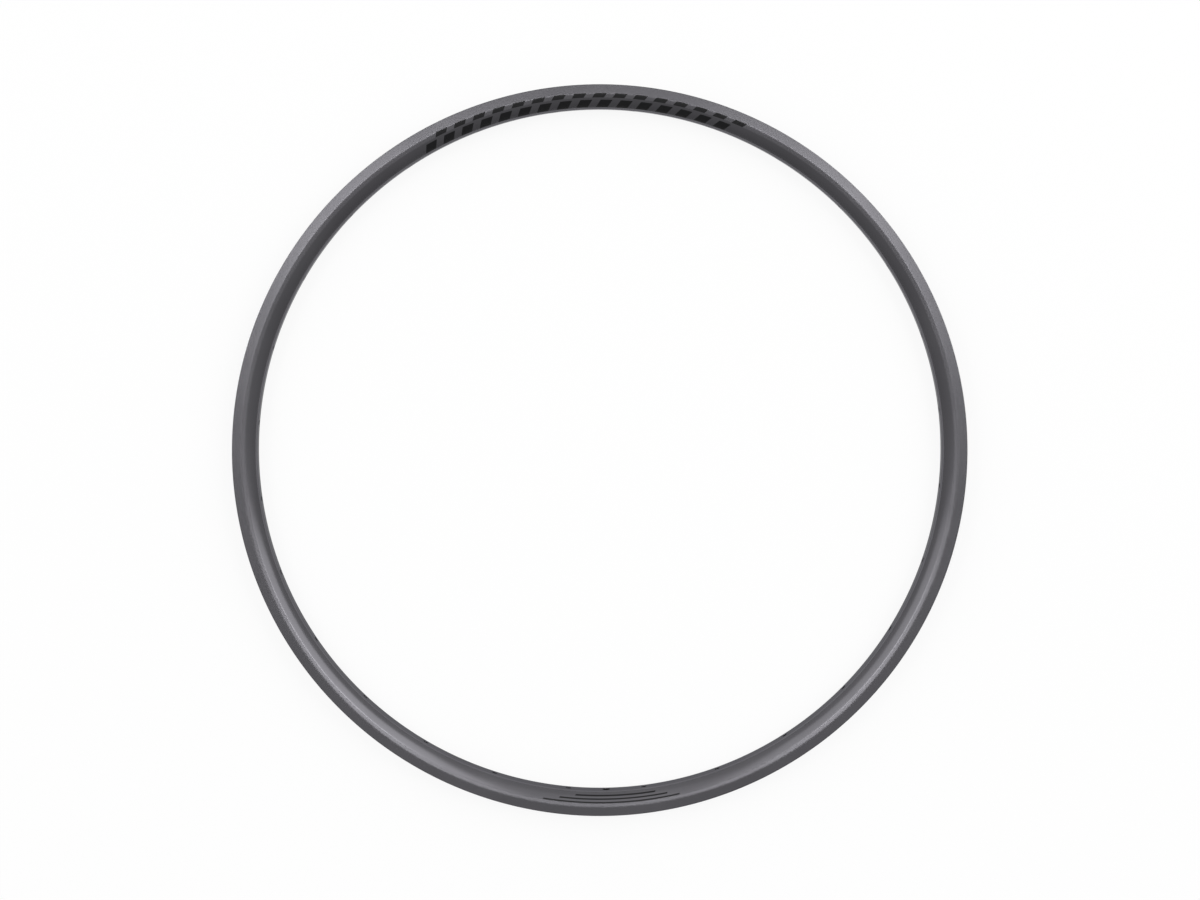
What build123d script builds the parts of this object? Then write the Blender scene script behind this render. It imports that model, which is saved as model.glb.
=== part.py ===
from build123d import *
from math import atan2, cos, radians, sin, tan
import os

# A bicycle rim: one hollow alloy extrusion, rolled into a hoop, joined and drilled.
# The hoop lies flat. The origin is its centre, +Z is the wheel's axle line, -Y is the valve hole.
# All sizes are in millimetres and degrees.

# Tyre side
bead_seat_diameter = 621.95
flange_height = 5.8
hook_wall = 1.9
hook_reach = 0.6
hook_lip = 1.6
bead_seat_width = 4.6
well_depth = 3.0
well_wall_lean = 25.0

# Sides and spoke bed
outside_width = 28.8
rim_depth = 20.6
side_band_depth = 7.9
shoulder_run = 3.3
shoulder_drop = 0.6
flank_run = 6.0
flank_lean = 28.0
flank_round = 14.0
spoke_bed_width = 7.0

# Walls of the hollow
bridge_wall = 1.0
side_wall = 1.2
flank_wall = 1.1
spoke_bed_wall = 1.7

# Holes, all in one row in the centre plane
spoke_hole_count = 28
spoke_hole_diameter = 4.5
access_hole_diameter = 8.0
valve_hole_diameter = 6.5
valve_angle = -90.0

# Radii of the section, from the tyre side in to the spoke bed
seat_radius = bead_seat_diameter / 2
tip_radius = seat_radius + flange_height
well_radius = seat_radius - well_depth
band_radius = tip_radius - side_band_depth
shoulder_radius = band_radius - shoulder_run
break_radius = shoulder_radius - flank_run
bed_radius = tip_radius - rim_depth

# Half widths of the section
side_half = outside_width / 2
hook_half = side_half - hook_wall
flange_half = hook_half + hook_reach
seat_half = flange_half - bead_seat_width
well_half = seat_half - well_depth * tan(radians(well_wall_lean))
shoulder_half = side_half - shoulder_drop
break_half = shoulder_half - flank_run * tan(radians(flank_lean))
bed_half = spoke_bed_width / 2

# The flank leans in twice, gently below the shoulder and then steeply to the spoke bed, with one
# large rounding between
upper_lean = radians(flank_lean)
lower_lean = atan2(break_half - bed_half, break_radius - bed_radius)
mean_lean = (upper_lean + lower_lean) / 2
half_turn = (lower_lean - upper_lean) / 2
rounding_cut = flank_round * (1 / cos(half_turn) - 1)

# The hollow keeps one wall from each outer face
hollow_top_radius = seat_radius - bridge_wall
hollow_well_radius = well_radius - bridge_wall
well_shift = bridge_wall * (1 / cos(radians(well_wall_lean)) - tan(radians(well_wall_lean)))
hollow_half = side_half - side_wall
hollow_side_drop = shoulder_half - hollow_half - flank_wall / cos(upper_lean)
hollow_side_radius = shoulder_radius - hollow_side_drop / tan(upper_lean)
hollow_break_radius = break_radius + (rounding_cut + flank_wall) * sin(mean_lean)
hollow_break_half = break_half - (rounding_cut + flank_wall) * cos(mean_lean)
hollow_bed_radius = bed_radius + spoke_bed_wall
hollow_bed_half = bed_half + spoke_bed_wall * tan(lower_lean) - flank_wall / cos(lower_lean)

# Spoke holes stand half a pitch to each side of the valve hole
first_spoke_angle = valve_angle + 180 / spoke_hole_count
access_depth = tip_radius - (hollow_bed_radius + hollow_well_radius) / 2
drill_depth = tip_radius - bed_radius + spoke_bed_wall

with BuildPart() as rim:
    # The section, with x along the radius and y along the axle
    with BuildSketch(Plane.XZ):
        # Outer face: tyre well, bead seat, hooked flange, side band and shoulder, then the flank
        with BuildLine():
            Polyline(
                (well_radius, well_half),
                (seat_radius, seat_half),
                (seat_radius, flange_half),
                (tip_radius - hook_lip, hook_half),
                (tip_radius, hook_half),
                (tip_radius, side_half),
                (band_radius, side_half),
                (shoulder_radius, shoulder_half),
            )
            FilletPolyline(
                (shoulder_radius, shoulder_half),
                (break_radius, break_half),
                (bed_radius, bed_half),
                radius=flank_round,
            )
            mirror(about=Plane.XZ)
            Line((well_radius, well_half), (well_radius, -well_half))
            Line((bed_radius, bed_half), (bed_radius, -bed_half))
        make_face()
        # The hollow between the tyre bed and the spoke bed
        with BuildLine():
            Polyline(
                (hollow_well_radius, well_half + well_shift),
                (hollow_top_radius, seat_half + well_shift),
                (hollow_top_radius, hollow_half),
                (hollow_side_radius, hollow_half),
                (hollow_break_radius, hollow_break_half),
                (hollow_bed_radius, hollow_bed_half),
            )
            mirror(about=Plane.XZ)
            Line(
                (hollow_well_radius, well_half + well_shift),
                (hollow_well_radius, -well_half - well_shift),
            )
            Line((hollow_bed_radius, hollow_bed_half), (hollow_bed_radius, -hollow_bed_half))
        make_face(mode=Mode.SUBTRACT)
    revolve(axis=Axis.Z)

    # Each spoke hole has a wider access hole above it, drilled from the tyre side
    with PolarLocations(tip_radius, spoke_hole_count, start_angle=first_spoke_angle):
        with Locations(Location((0, 0, 0), (0, 90, 0))):
            CounterBoreHole(
                spoke_hole_diameter / 2,
                access_hole_diameter / 2,
                access_depth,
                depth=drill_depth,
            )

    # The valve hole has one size through both walls
    with PolarLocations(tip_radius, 1, start_angle=valve_angle):
        with Locations(Location((0, 0, 0), (0, 90, 0))):
            Hole(valve_hole_diameter / 2, depth=drill_depth)

rim.part.label = "rim"
os.makedirs("parts", exist_ok=True)
export_step(rim.part, "parts/rim.step")
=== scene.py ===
from math import atan2, ceil, cos, degrees, pi, radians, sin, tan

import bpy
from mathutils import Matrix, Vector


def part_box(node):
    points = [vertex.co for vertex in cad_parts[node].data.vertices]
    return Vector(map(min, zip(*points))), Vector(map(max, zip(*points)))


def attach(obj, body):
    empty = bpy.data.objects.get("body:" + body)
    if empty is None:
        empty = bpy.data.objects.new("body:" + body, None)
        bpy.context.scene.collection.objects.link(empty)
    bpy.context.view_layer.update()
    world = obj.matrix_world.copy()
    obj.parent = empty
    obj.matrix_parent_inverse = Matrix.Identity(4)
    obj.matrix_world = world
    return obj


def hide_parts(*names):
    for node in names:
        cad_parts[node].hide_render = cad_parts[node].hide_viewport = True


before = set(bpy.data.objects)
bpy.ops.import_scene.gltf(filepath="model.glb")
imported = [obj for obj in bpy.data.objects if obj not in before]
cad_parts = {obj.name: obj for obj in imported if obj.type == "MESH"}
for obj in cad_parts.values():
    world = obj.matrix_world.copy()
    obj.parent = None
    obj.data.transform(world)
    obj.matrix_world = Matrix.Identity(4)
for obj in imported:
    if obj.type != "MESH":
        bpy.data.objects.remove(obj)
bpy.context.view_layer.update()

# Lengths are in millimetres up to the point where they reach a mesh, and angles are in degrees.
MM = 0.001
rim_low, rim_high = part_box("rim")

# Sizes of the hoop's section. Radii are taken from the axle line, half widths from the middle plane.
TIP_RADIUS = rim_high.x / MM
SIDE_HALF = rim_high.z / MM
FLANGE_HEIGHT = 5.8
HOOK_HALF = 12.5
HOOK_REACH = 0.6
HOOK_LIP = 1.6
BEAD_SEAT_WIDTH = 4.6
WELL_DEPTH = 3.0
WELL_WALL_LEAN = 25.0
RIM_DEPTH = 20.6
SIDE_BAND_DEPTH = 7.9
SHOULDER_RUN = 3.3
SHOULDER_DROP = 0.6
FLANK_LEAN = 28.0

# Flank and spoke bed of the solid, which the hollow follows
FLANK_RUN = 6.0
FLANK_ROUND = 14.0
BED_HALF = 3.5

# Flank and spoke bed of the outside, which turns over later than the solid does
FULL_FLANK_RUN = 5.0
FULL_FLANK_ROUND = 23.0
FULL_BED_HALF = 6.4

# Walls of the hollow
BRIDGE_WALL = 1.0
SIDE_WALL = 1.2
FLANK_WALL = 1.1
SPOKE_BED_WALL = 1.7

# Roundings of the outside's other corners
EDGE_ROUND = 0.5
BAND_ROUND = 10.0
SHOULDER_ROUND = 3.0
BED_ROUND = 4.8
WELL_ROUND = 1.0

# Holes, with the rounding of their edges and how far a drill runs past a wall
SPOKE_HOLES = 28
SPOKE_HOLE_RADIUS = 2.25
ACCESS_HOLE_RADIUS = 4.0
VALVE_HOLE_RADIUS = 3.25
HOLE_EDGE = 0.3
DRILL_OVERRUN = 1.0
VALVE_ANGLE = -90.0

# Printed trim on the upper side: angles round the hoop, and depths in from its outer edge.
# The slant is in degrees for each millimetre of depth.
INK_PROUD = 0.06
INK_THICKNESS = 0.1
INK_SLANT = 0.13
BLOCK_COUNT = 16
BLOCK_FIRST = 64.1
BLOCK_PITCH = 3.24
BLOCK_WIDTH = 1.9

# The depths between which each row of blocks lies
BLOCK_ROWS = ((7.4, 11.1), (12.9, 18.9))

# The depth at which each stripe starts, and how far it reaches to each side of the stripes' middle
STRIPE_MIDDLE = 269.3
STRIPE_WIDTH = 1.1
STRIPES = ((11.3, 11.3), (14.0, 9.0), (16.7, 6.7))

# Fineness of the meshes: a dozen steps of the hoop to each spoke hole, and about one step to so many
# degrees of an arc of the section, within the fewest and the most steps for one arc
HOOP_STEPS = SPOKE_HOLES * 12
ARC_STEP = 6.0
FEWEST_ARC_STEPS = 3
MOST_ARC_STEPS = 7
HOLE_SIDES = 40
INK_STEP_ROUND = 0.5
INK_STEP_ACROSS = 0.5
MERGE_DISTANCE = 0.001
SMOOTH_ANGLE = 35.0

# Radii and half widths that follow from the section's sizes
SEAT_RADIUS = TIP_RADIUS - FLANGE_HEIGHT
WELL_RADIUS = SEAT_RADIUS - WELL_DEPTH
BED_RADIUS = TIP_RADIUS - RIM_DEPTH
HOLLOW_TOP = SEAT_RADIUS - BRIDGE_WALL
HOLLOW_WELL = WELL_RADIUS - BRIDGE_WALL
HOLLOW_BED = BED_RADIUS + SPOKE_BED_WALL
FLANGE_HALF = HOOK_HALF + HOOK_REACH
SEAT_HALF = FLANGE_HALF - BEAD_SEAT_WIDTH
WELL_HALF = SEAT_HALF - WELL_DEPTH * tan(radians(WELL_WALL_LEAN))
BAND_RADIUS = TIP_RADIUS - SIDE_BAND_DEPTH
SHOULDER_RADIUS = BAND_RADIUS - SHOULDER_RUN
SHOULDER_HALF = SIDE_HALF - SHOULDER_DROP
BREAK_RADIUS = SHOULDER_RADIUS - FLANK_RUN
BREAK_HALF = SHOULDER_HALF - FLANK_RUN * tan(radians(FLANK_LEAN))
FULL_BREAK_RADIUS = SHOULDER_RADIUS - FULL_FLANK_RUN
FULL_BREAK_HALF = SHOULDER_HALF - FULL_FLANK_RUN * tan(radians(FLANK_LEAN))

# Where the photograph was taken from. The lens and the frame are in millimetres too.
VIEW_DISTANCE = 2000.0
VIEW_TILT = 5.75
VIEW_SHIFT = (0.25, 3.75)
VIEW_ROLL = 1.1
FOCAL_LENGTH = 69.18
FRAME_WIDTH = 36.0

# How far the lamps stand from the hoop, and the length of each side of the floor, in metres
LAMP_DISTANCE = 4.0
FLOOR_SIZE = 30.0

# Each soft box: name, azimuth, angle off the axle line, two widths as angles, and radiance
SOFT_BOXES = (
    ("right_front", 9, 7.3, 6.7, 6.7, 5.0),
    ("left_front", 171, 7.3, 6.7, 6.7, 5.0),
    ("right_near", 28, 27.5, 20.5, 13.5, 4.1),
    ("left_near", 152, 27.5, 20.5, 13.5, 4.0),
    ("right_key", 32, 43, 44, 39, 1.25),
    ("left_key", 148, 43, 44, 39, 0.75),
    ("top_fill", 90, 41, 39, 42, 0.18),
)

# The grey room: its middle level, and how much lighter it gets toward +X, +Y and +Z
ROOM_LEVEL = 0.51
ROOM_SLOPE = (0, 0.21, 0.12)

# The share of the floor's white that is its own and not the lamps'
FLOOR_OWN_WHITE = 0.88

# Noise textures lie mostly between these two values
NOISE_LOW = 0.3
NOISE_HIGH = 0.7


def to_linear(hex_colour):
    """An sRGB hex colour as linear red, green, blue and full alpha."""
    channels = [int(hex_colour[i:i + 2], 16) / 255 for i in (1, 3, 5)]
    linear = [c / 12.92 if c <= 0.04045 else ((c + 0.055) / 1.055) ** 2.4 for c in channels]
    return (*linear, 1.0)


def add_node(tree, kind, settings=None, inputs=None):
    """Adds a node. Settings are its properties; an input is a value, or an output socket to link."""
    node = tree.nodes.new(kind)
    for name, value in (settings or {}).items():
        setattr(node, name, value)
    for name, value in (inputs or {}).items():
        if isinstance(value, bpy.types.NodeSocket):
            tree.links.new(value, node.inputs[name])
        else:
            node.inputs[name].default_value = value
    return node


def new_material(name):
    """An empty material with its output node."""
    material = bpy.data.materials.new(name)
    material.use_nodes = True
    material.node_tree.nodes.clear()
    output = add_node(material.node_tree, "ShaderNodeOutputMaterial")
    return material, material.node_tree, output


def anodised_alloy():
    """Extruded 6000-series aluminium, bead blasted and anodised dark grey.

    The blasting breaks reflections into a soft sheen, the dyed oxide tints the metal an anthracite
    grey with a trace of violet and dims it at glancing angles, where light goes further through it,
    and the die leaves very faint lines that run round the hoop.
    """
    material, tree, output = new_material("anodised_aluminium")
    place = add_node(tree, "ShaderNodeTexCoord")
    split = add_node(tree, "ShaderNodeSeparateXYZ", inputs={"Vector": place.outputs["Object"]})
    flat = add_node(
        tree, "ShaderNodeCombineXYZ", inputs={"X": split.outputs["X"], "Y": split.outputs["Y"]}
    )
    radius = add_node(tree, "ShaderNodeVectorMath", {"operation": "LENGTH"}, {0: flat.outputs[0]})
    across = add_node(
        tree, "ShaderNodeCombineXYZ", inputs={"X": radius.outputs["Value"], "Y": split.outputs["Z"]}
    )
    # Real die lines and blasting grain are finer, and are drawn coarser to show in a close view
    die_line_spacing = 0.8 * MM
    die_lines = add_node(
        tree,
        "ShaderNodeTexNoise",
        {"noise_dimensions": "2D"},
        {"Vector": across.outputs[0], "Scale": 1 / die_line_spacing, "Detail": 2.0},
    )
    grain_size = 0.5 * MM
    grain = add_node(
        tree,
        "ShaderNodeTexNoise",
        inputs={"Vector": place.outputs["Object"], "Scale": 1 / grain_size, "Detail": 2.0},
    )
    cloud_size = 40 * MM
    cloud = add_node(
        tree,
        "ShaderNodeTexNoise",
        inputs={"Vector": place.outputs["Object"], "Scale": 1 / cloud_size, "Detail": 3.0},
    )
    tint = add_node(tree, "ShaderNodeValToRGB", inputs={"Fac": cloud.outputs["Fac"]})
    tint.color_ramp.elements[0].position = NOISE_LOW
    tint.color_ramp.elements[0].color = to_linear("#666569")
    tint.color_ramp.elements[1].position = NOISE_HIGH
    tint.color_ramp.elements[1].color = to_linear("#6b6a6e")
    satin = add_node(
        tree,
        "ShaderNodeMapRange",
        inputs={"Value": die_lines.outputs["Fac"], "To Min": 0.20, "To Max": 0.235},
    )
    relief = 0.05 * MM
    lines = add_node(
        tree,
        "ShaderNodeBump",
        inputs={"Height": die_lines.outputs["Fac"], "Strength": 0.015, "Distance": relief},
    )
    blasted = add_node(
        tree,
        "ShaderNodeBump",
        inputs={
            "Height": grain.outputs["Fac"],
            "Strength": 0.01,
            "Distance": relief,
            "Normal": lines.outputs["Normal"],
        },
    )
    metal = add_node(
        tree,
        "ShaderNodeBsdfPrincipled",
        inputs={
            "Base Color": tint.outputs["Color"],
            "Metallic": 1.0,
            "Specular Tint": to_linear("#aeaeb0"),
            "Roughness": satin.outputs["Result"],
            "Normal": blasted.outputs["Normal"],
        },
    )
    tree.links.new(metal.outputs["BSDF"], output.inputs["Surface"])
    return material


def black_ink():
    """Satin black screen-printing ink, laid thin on the blasted metal.

    It is dark with a dull sheen, and the grain of the metal below makes its gloss a little uneven.
    """
    material, tree, output = new_material("satin_black_ink")
    place = add_node(tree, "ShaderNodeTexCoord")
    grain_size = 0.6 * MM
    grain = add_node(
        tree,
        "ShaderNodeTexNoise",
        inputs={"Vector": place.outputs["Object"], "Scale": 1 / grain_size, "Detail": 2.0},
    )
    tone = add_node(tree, "ShaderNodeValToRGB", inputs={"Fac": grain.outputs["Fac"]})
    tone.color_ramp.elements[0].position = NOISE_LOW
    tone.color_ramp.elements[0].color = to_linear("#08080a")
    tone.color_ramp.elements[1].position = NOISE_HIGH
    tone.color_ramp.elements[1].color = to_linear("#0e0e10")
    sheen = add_node(
        tree,
        "ShaderNodeMapRange",
        inputs={"Value": grain.outputs["Fac"], "To Min": 0.28, "To Max": 0.36},
    )
    ink = add_node(
        tree,
        "ShaderNodeBsdfPrincipled",
        inputs={"Base Color": tone.outputs["Color"], "IOR": 1.36, "Roughness": sheen.outputs["Result"]},
    )
    tree.links.new(ink.outputs["BSDF"], output.inputs["Surface"])
    return material


def floor_paint():
    """Matt white studio floor. Most of its white is its own, so that the shadow on it stays faint."""
    material, tree, output = new_material("white_studio_floor")
    matt = add_node(tree, "ShaderNodeBsdfDiffuse", inputs={"Color": to_linear("#f4f4f4")})
    glow = add_node(tree, "ShaderNodeEmission", inputs={"Color": (1.0, 1.0, 1.0, 1.0), "Strength": 1.0})
    path = add_node(tree, "ShaderNodeLightPath")
    seen = add_node(
        tree,
        "ShaderNodeMath",
        {"operation": "MAXIMUM"},
        {0: path.outputs["Is Camera Ray"], 1: path.outputs["Is Glossy Ray"]},
    )
    seen_or_through = add_node(
        tree,
        "ShaderNodeMath",
        {"operation": "MAXIMUM"},
        {0: seen.outputs[0], 1: path.outputs["Is Transmission Ray"]},
    )
    share = add_node(
        tree,
        "ShaderNodeMath",
        {"operation": "MULTIPLY"},
        {0: seen_or_through.outputs[0], 1: FLOOR_OWN_WHITE},
    )
    mix = add_node(
        tree,
        "ShaderNodeMixShader",
        inputs={0: share.outputs[0], 1: matt.outputs["BSDF"], 2: glow.outputs["Emission"]},
    )
    tree.links.new(mix.outputs["Shader"], output.inputs["Surface"])
    return material


def deselect_all():
    """Leaves nothing selected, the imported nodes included."""
    bpy.ops.object.select_all(action="DESELECT")


def rounded_corner(before, corner, after):
    """Points of one corner of a section, on an arc that is tangent to its two sides."""
    here = Vector(corner[:2])
    back = (Vector(before[:2]) - here).normalized()
    ahead = (Vector(after[:2]) - here).normalized()
    if corner[2] == 0:
        return [here]
    turn = pi - back.angle(ahead)
    reach = corner[2] * tan(turn / 2)
    centre = here + (back + ahead).normalized() * corner[2] / cos(turn / 2)
    first = here + back * reach - centre
    side = 1 if back.cross(ahead) < 0 else -1
    steps = min(max(ceil(degrees(turn) / ARC_STEP), FEWEST_ARC_STEPS), MOST_ARC_STEPS)
    return [centre + Matrix.Rotation(side * turn * step / steps, 2) @ first for step in range(steps + 1)]


def draw_section(name, corners):
    """The outline of a section on the XZ plane. Each corner is (radius, half width, rounding)."""
    points = []
    for index, corner in enumerate(corners):
        points += rounded_corner(corners[index - 1], corner, corners[(index + 1) % len(corners)])
    deselect_all()
    bpy.ops.mesh.primitive_circle_add(vertices=len(points))
    section = bpy.context.object
    section.name = name
    for vertex, point in zip(section.data.vertices, points):
        vertex.co = (point[0] * MM, 0, point[1] * MM)
    bpy.ops.object.mode_set(mode="EDIT")
    return section


def turn_hoop(section, inside):
    """Turns a section right round the axle line to a closed skin."""
    bpy.ops.mesh.select_all(action="SELECT")
    bpy.ops.mesh.spin(steps=HOOP_STEPS, angle=2 * pi, center=(0, 0, 0), axis=(0, 0, 1))
    bpy.ops.mesh.select_all(action="SELECT")
    bpy.ops.mesh.remove_doubles(threshold=MERGE_DISTANCE * MM)
    bpy.ops.mesh.normals_make_consistent(inside=inside)
    bpy.ops.object.mode_set(mode="OBJECT")
    return section


def both_sides(corners):
    """One side's corners, from the middle out and back to the middle, followed by the other side's."""
    other = [(radius, -half, rounding) for radius, half, rounding in reversed(corners)]
    return corners + other


def outer_corners():
    """One side of the outside: tyre well, bead seat, hooked flange, side band, shoulder and flank."""
    return [
        (WELL_RADIUS, WELL_HALF, WELL_ROUND),
        (SEAT_RADIUS, SEAT_HALF, WELL_ROUND),
        (SEAT_RADIUS, FLANGE_HALF, EDGE_ROUND),
        (TIP_RADIUS - HOOK_LIP, HOOK_HALF, EDGE_ROUND),
        (TIP_RADIUS, HOOK_HALF, EDGE_ROUND),
        (TIP_RADIUS, SIDE_HALF, EDGE_ROUND),
        (BAND_RADIUS, SIDE_HALF, BAND_ROUND),
        (SHOULDER_RADIUS, SHOULDER_HALF, SHOULDER_ROUND),
        (FULL_BREAK_RADIUS, FULL_BREAK_HALF, FULL_FLANK_ROUND),
        (BED_RADIUS, FULL_BED_HALF, BED_ROUND),
    ]


def outer_skin():
    """The outside of the extrusion."""
    return turn_hoop(draw_section("alloy_hoop", both_sides(outer_corners())), inside=False)


def hollow_skin():
    """The inside of the hollow between the tyre bed and the spoke bed."""
    lean = radians(WELL_WALL_LEAN)
    well_shift = BRIDGE_WALL * (1 / cos(lean) - tan(lean))
    hollow_half = SIDE_HALF - SIDE_WALL
    upper = radians(FLANK_LEAN)
    lower = atan2(BREAK_HALF - BED_HALF, BREAK_RADIUS - BED_RADIUS)
    middle = (upper + lower) / 2
    side_drop = SHOULDER_HALF - hollow_half - FLANK_WALL / cos(upper)
    break_shift = FLANK_WALL + FLANK_ROUND * (1 / cos((lower - upper) / 2) - 1)
    corners = both_sides([
        (HOLLOW_WELL, WELL_HALF + well_shift, 0),
        (HOLLOW_TOP, SEAT_HALF + well_shift, 0),
        (HOLLOW_TOP, hollow_half, 0),
        (SHOULDER_RADIUS - side_drop / tan(upper), hollow_half, 0),
        (BREAK_RADIUS + break_shift * sin(middle), BREAK_HALF - break_shift * cos(middle), 0),
        (HOLLOW_BED, BED_HALF + SPOKE_BED_WALL * tan(lower) - FLANK_WALL / cos(lower), 0),
    ])
    return turn_hoop(draw_section("hollow", corners), inside=True)


def turned_cutter(name, stations):
    """A round cutter along +X. Each station is (distance from the axle line, radius)."""
    deselect_all()
    first = stations[0]
    bpy.ops.mesh.primitive_circle_add(
        vertices=HOLE_SIDES,
        radius=first[1] * MM,
        fill_type="NGON",
        location=(first[0] * MM, 0, 0),
        rotation=(0, radians(90), 0),
    )
    cutter = bpy.context.object
    cutter.name = name
    bpy.ops.object.transform_apply(location=True, rotation=True, scale=True)
    bpy.ops.object.mode_set(mode="EDIT")
    bpy.ops.mesh.select_all(action="SELECT")
    for (x0, r0), (x1, r1) in zip(stations, stations[1:]):
        bpy.ops.mesh.extrude_region_move(TRANSFORM_OT_translate={"value": ((x1 - x0) * MM, 0, 0)})
        bpy.ops.transform.resize(value=(1, r1 / r0, r1 / r0), center_override=(x1 * MM, 0, 0))
    bpy.ops.mesh.select_all(action="SELECT")
    bpy.ops.mesh.normals_make_consistent(inside=False)
    bpy.ops.object.mode_set(mode="OBJECT")
    return cutter


def eased_mouth(surface, radius, outward):
    """Stations that ease a hole's edge where it meets a surface; outward is the way out of the wall."""
    turns = (0, 22.5, 45, 67.5, 90)
    rounded = [
        (
            surface - outward * HOLE_EDGE * (1 - sin(radians(turn))),
            radius + HOLE_EDGE * (1 - cos(radians(turn))),
        )
        for turn in turns
    ]
    return rounded + [(surface + outward * DRILL_OVERRUN, radius + HOLE_EDGE)]


def spoke_cutter():
    """A spoke hole with the wider access hole above it."""
    middle = (HOLLOW_BED + HOLLOW_WELL) / 2
    step_length = 0.01
    stations = list(reversed(eased_mouth(BED_RADIUS, SPOKE_HOLE_RADIUS, -1)))
    stations += [(middle, SPOKE_HOLE_RADIUS), (middle + step_length, ACCESS_HOLE_RADIUS)]
    stations += eased_mouth(WELL_RADIUS, ACCESS_HOLE_RADIUS, 1)
    return turned_cutter("spoke_drill", stations)


def valve_cutter():
    """The valve hole, of one size through both walls."""
    stations = list(reversed(eased_mouth(BED_RADIUS, VALVE_HOLE_RADIUS, -1)))
    stations += eased_mouth(WELL_RADIUS, VALVE_HOLE_RADIUS, 1)
    cutter = turned_cutter("valve_drill", stations)
    cutter.data.transform(Matrix.Rotation(radians(VALVE_ANGLE), 4, "Z"))
    return cutter


def join_pieces(pieces):
    """Joins pieces into the first one."""
    deselect_all()
    for piece in pieces:
        piece.select_set(True)
    bpy.context.view_layer.objects.active = pieces[0]
    bpy.ops.object.join()
    return pieces[0]


def drill(hoop):
    """Drills all the holes of the hoop."""
    pitch = 360 / SPOKE_HOLES
    pattern = spoke_cutter()
    drills = [valve_cutter()]
    for number in range(SPOKE_HOLES):
        copy = pattern.copy()
        copy.data = pattern.data.copy()
        bpy.context.collection.objects.link(copy)
        turn = VALVE_ANGLE + pitch * (number + 0.5)
        copy.data.transform(Matrix.Rotation(radians(turn), 4, "Z"))
        drills.append(copy)
    drills = join_pieces(drills)
    deselect_all()
    bpy.context.view_layer.objects.active = hoop
    hoop.select_set(True)
    cut = hoop.modifiers.new("holes", "BOOLEAN")
    cut.operation = "DIFFERENCE"
    cut.solver = "EXACT"
    cut.object = drills
    bpy.ops.object.modifier_apply(modifier=cut.name)
    bpy.data.objects.remove(drills)
    bpy.data.objects.remove(pattern)
    return hoop


def alloy_hoop():
    """The finished hoop: one hollow extrusion with its holes and eased edges."""
    hoop = join_pieces([outer_skin(), hollow_skin()])
    drill(hoop)
    deselect_all()
    hoop.select_set(True)
    bpy.context.view_layer.objects.active = hoop
    bpy.ops.object.shade_smooth_by_angle(angle=radians(SMOOTH_ANGLE))
    even = hoop.modifiers.new("even_shading", "WEIGHTED_NORMAL")
    even.keep_sharp = True
    bpy.ops.object.modifier_apply(modifier=even.name)
    hoop.data.materials.clear()
    hoop.data.materials.append(anodised_alloy())
    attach(hoop, "root")
    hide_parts("rim")
    return hoop


def upper_face():
    """Points of the section from its upper outer edge over band, shoulder and flank to the spoke bed."""
    corners = both_sides(outer_corners())
    bed = len(corners) // 2 - 1
    outer_edge = bed - 4
    points = []
    for index in range(outer_edge, bed + 1):
        points += rounded_corner(corners[index - 1], corners[index], corners[index + 1])
    return points


def ink_point(face, angle, depth):
    """A place on the upper face, just proud of the metal; depth is from the hoop's outer edge."""
    radius = TIP_RADIUS - depth
    for start, end in zip(face, face[1:]):
        if start.x >= radius > end.x:
            along = (end - start).normalized()
            break
    point = start + along * (radius - start.x) / along.x + Vector((along.y, -along.x)) * INK_PROUD
    turn = radians(angle)
    return Vector((point.x * cos(turn), point.x * sin(turn), point.y)) * MM


def ink_patch(face, angles, depths):
    """One printed field between two angles and two depths, with slanted ends."""
    deselect_all()
    fewest = 2
    steps_round = max(ceil((angles[1] - angles[0]) / INK_STEP_ROUND), fewest)
    steps_across = max(ceil((depths[1] - depths[0]) / INK_STEP_ACROSS), fewest)
    bpy.ops.mesh.primitive_grid_add(x_subdivisions=steps_round, y_subdivisions=steps_across, size=1.0)
    patch = bpy.context.object
    # The grid reaches half a unit to each side of its middle
    for vertex in patch.data.vertices:
        depth = depths[0] + (depths[1] - depths[0]) * (vertex.co.y + 0.5)
        angle = angles[0] + (angles[1] - angles[0]) * (vertex.co.x + 0.5) + INK_SLANT * depth
        vertex.co = ink_point(face, angle, depth)
    skin = patch.modifiers.new("ink_thickness", "SOLIDIFY")
    skin.thickness = INK_THICKNESS * MM
    skin.offset = -1.0
    bpy.ops.object.modifier_apply(modifier=skin.name)
    bpy.ops.object.shade_smooth_by_angle(angle=radians(SMOOTH_ANGLE))
    return patch


def finish_print(name, patches, ink):
    """Joins printed fields into one piece on the hoop."""
    mark = join_pieces(patches)
    mark.name = name
    mark.data.materials.clear()
    mark.data.materials.append(ink)
    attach(mark, "root")


def printed_trim():
    """Two staggered rows of plain slanted blocks over the top, and thin stripes by the valve hole."""
    face = upper_face()
    ink = black_ink()
    blocks = []
    for row, depths in enumerate(BLOCK_ROWS):
        for number in range(BLOCK_COUNT):
            start = BLOCK_FIRST + BLOCK_PITCH * (number + row / 2)
            blocks.append(ink_patch(face, (start, start + BLOCK_WIDTH), depths))
    finish_print("black_blocks", blocks, ink)
    stripes = []
    for depth, reach in STRIPES:
        ends = (STRIPE_MIDDLE - reach, STRIPE_MIDDLE + reach)
        stripes.append(ink_patch(face, ends, (depth, depth + STRIPE_WIDTH)))
    finish_print("black_stripes", stripes, ink)


def studio_floor():
    """The white floor that the hoop lies on."""
    deselect_all()
    bpy.ops.mesh.primitive_plane_add(size=FLOOR_SIZE, location=(0, 0, rim_low.z))
    floor = bpy.context.object
    floor.name = "floor"
    bpy.ops.object.transform_apply(location=True, rotation=True, scale=True)
    floor.data.materials.append(floor_paint())


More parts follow.
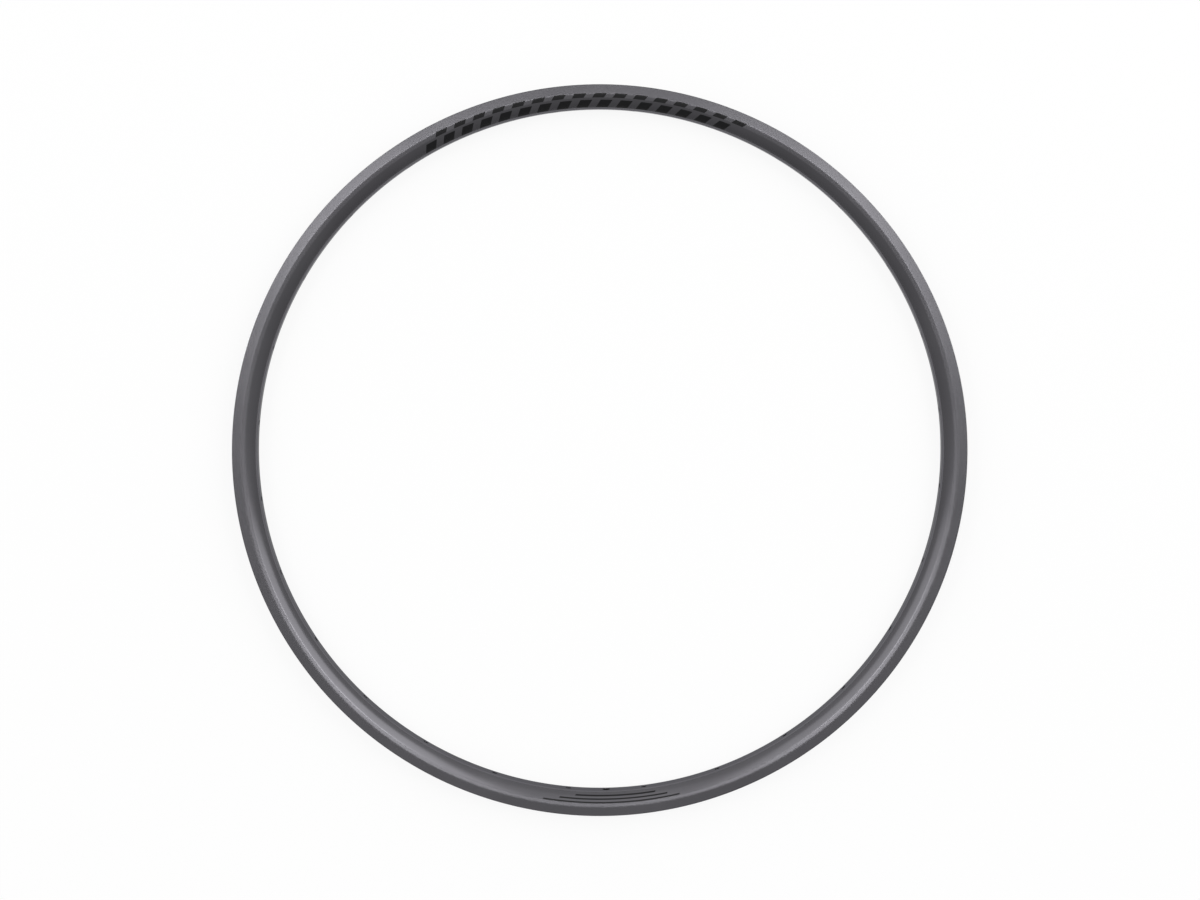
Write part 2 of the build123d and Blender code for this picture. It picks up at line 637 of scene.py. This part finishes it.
def soft_box(name, azimuth, off_axis, across, along, radiance):
    """A soft box that faces the hoop, placed and sized by the angles at which the hoop sees it."""
    lamp = bpy.data.lights.new(name, "AREA")
    lamp.shape = "RECTANGLE"
    lamp.size = 2 * LAMP_DISTANCE * tan(radians(across / 2))
    lamp.size_y = 2 * LAMP_DISTANCE * tan(radians(along / 2))
    lamp.energy = radiance * pi * lamp.size * lamp.size_y
    box = bpy.data.objects.new(name, lamp)
    bpy.context.scene.collection.objects.link(box)
    out = radians(off_axis)
    turn = radians(azimuth)
    toward = Vector((sin(out) * cos(turn), sin(out) * sin(turn), cos(out)))
    box.location = toward * LAMP_DISTANCE
    box.rotation_euler = toward.to_track_quat("Z", "Y").to_euler()


def studio_light():
    """Soft boxes above the hoop, in a grey room that is lighter overhead and toward the hoop's top."""
    for name, azimuth, off_axis, across, along, radiance in SOFT_BOXES:
        soft_box(name, azimuth, off_axis, across, along, radiance)
    world = bpy.data.worlds.new("grey_room")
    bpy.context.scene.world = world
    world.use_nodes = True
    tree = world.node_tree
    room = tree.nodes["Background"]
    room.inputs["Color"].default_value = (1.0, 1.0, 1.0, 1.0)
    place = add_node(tree, "ShaderNodeTexCoord")
    slope = add_node(
        tree,
        "ShaderNodeVectorMath",
        {"operation": "DOT_PRODUCT"},
        {0: place.outputs["Generated"], 1: ROOM_SLOPE},
    )
    level = add_node(
        tree, "ShaderNodeMath", {"operation": "ADD"}, {0: slope.outputs["Value"], 1: ROOM_LEVEL}
    )
    tree.links.new(level.outputs[0], room.inputs["Strength"])


def photo_camera():
    """The camera of the photograph, which looks down on the hoop from a little beyond its top."""
    lens = bpy.data.cameras.new("photo_camera")
    lens.sensor_width = FRAME_WIDTH
    lens.lens = FOCAL_LENGTH
    camera = bpy.data.objects.new("photo_camera", lens)
    bpy.context.scene.collection.objects.link(camera)
    tilt = radians(VIEW_TILT)
    right = Vector((1, 0, 0))
    up = Vector((0, cos(tilt), -sin(tilt)))
    back = Vector((0, sin(tilt), cos(tilt)))
    place = (back * VIEW_DISTANCE + right * VIEW_SHIFT[0] + up * VIEW_SHIFT[1]) * MM
    pose = Matrix((right, up, back)).transposed().to_4x4()
    pose.translation = place
    camera.matrix_world = Matrix.Rotation(radians(-VIEW_ROLL), 4, "Z") @ pose
    bpy.context.scene.camera = camera


alloy_hoop()
printed_trim()
studio_floor()
studio_light()
photo_camera()
bpy.context.scene.view_settings.view_transform = "Standard"
